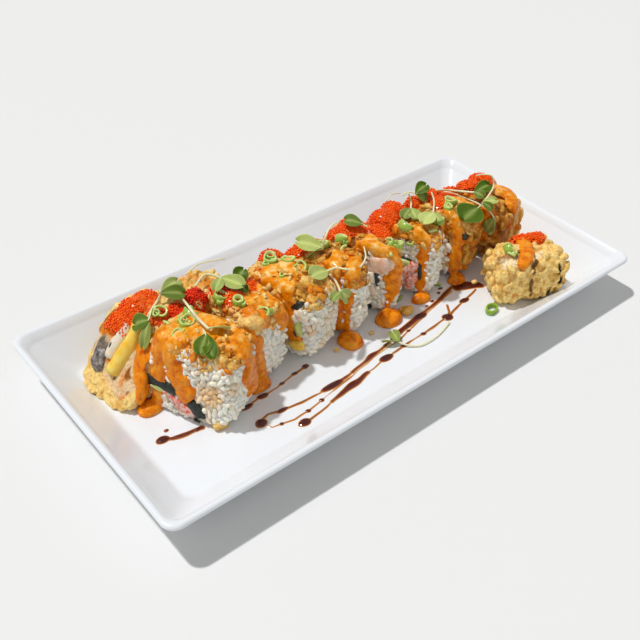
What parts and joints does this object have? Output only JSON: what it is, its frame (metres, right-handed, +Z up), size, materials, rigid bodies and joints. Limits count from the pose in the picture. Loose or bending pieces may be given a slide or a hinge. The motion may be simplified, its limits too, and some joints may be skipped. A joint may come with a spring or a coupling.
{
  "type": "platter of sliced sushi roll",
  "caption": "Long white rimmed plate with a row of sliced sushi roll and one battered slice apart, under roe, orange sauce, scallion rings and leafy sprouts.",
  "frame": {"origin": "on the surface the plate stands on, under the middle of the plate", "axes": "+X along the plate towards its end with the lone battered slice, -Y towards the plate's free front, +Z up"},
  "size_m": [0.3, 0.1424, 0.0592],
  "materials": {
    "porcelain": "glossy white glaze",
    "rice": "moist cooked rice",
    "batter": "crisp fried batter",
    "leaf": "soft satin leaf",
    "sauce": "glossy thick sauce",
    "roe": "glossy wet beads",
    "nori": "dull seaweed sheet",
    "filling": "moist filling",
    "glaze": "thin clear syrup",
    "scallion": "moist cut stem"
  },
  "bodies": {
    "root": {"plate": "porcelain", "slice_01": "batter", "slice_02": "rice", "slice_03": "rice", "slice_04": "rice", "slice_05": "rice", "slice_06": "rice", "slice_07": "rice", "slice_08": "rice", "slice_09": "batter", "slice_10": "batter", "scallion_loose": "leaf", "sprout_01": "leaf", "sprout_02": "leaf", "sprout_03": "leaf", "sprout_04": "leaf", "sprout_05": "leaf", "sprout_06": "leaf", "sprout_07": "leaf", "sprout_08": "leaf", "sprout_09": "leaf", "sprout_10": "leaf", "sprout_11": "leaf", "sprout_12": "leaf", "sprout_13": "leaf", "sprout_14": "leaf", "sprout_15": "leaf", "sprout_16": "leaf", "sprout_17": "leaf", "sprout_18": "leaf"}
  },
  "joints": []
}
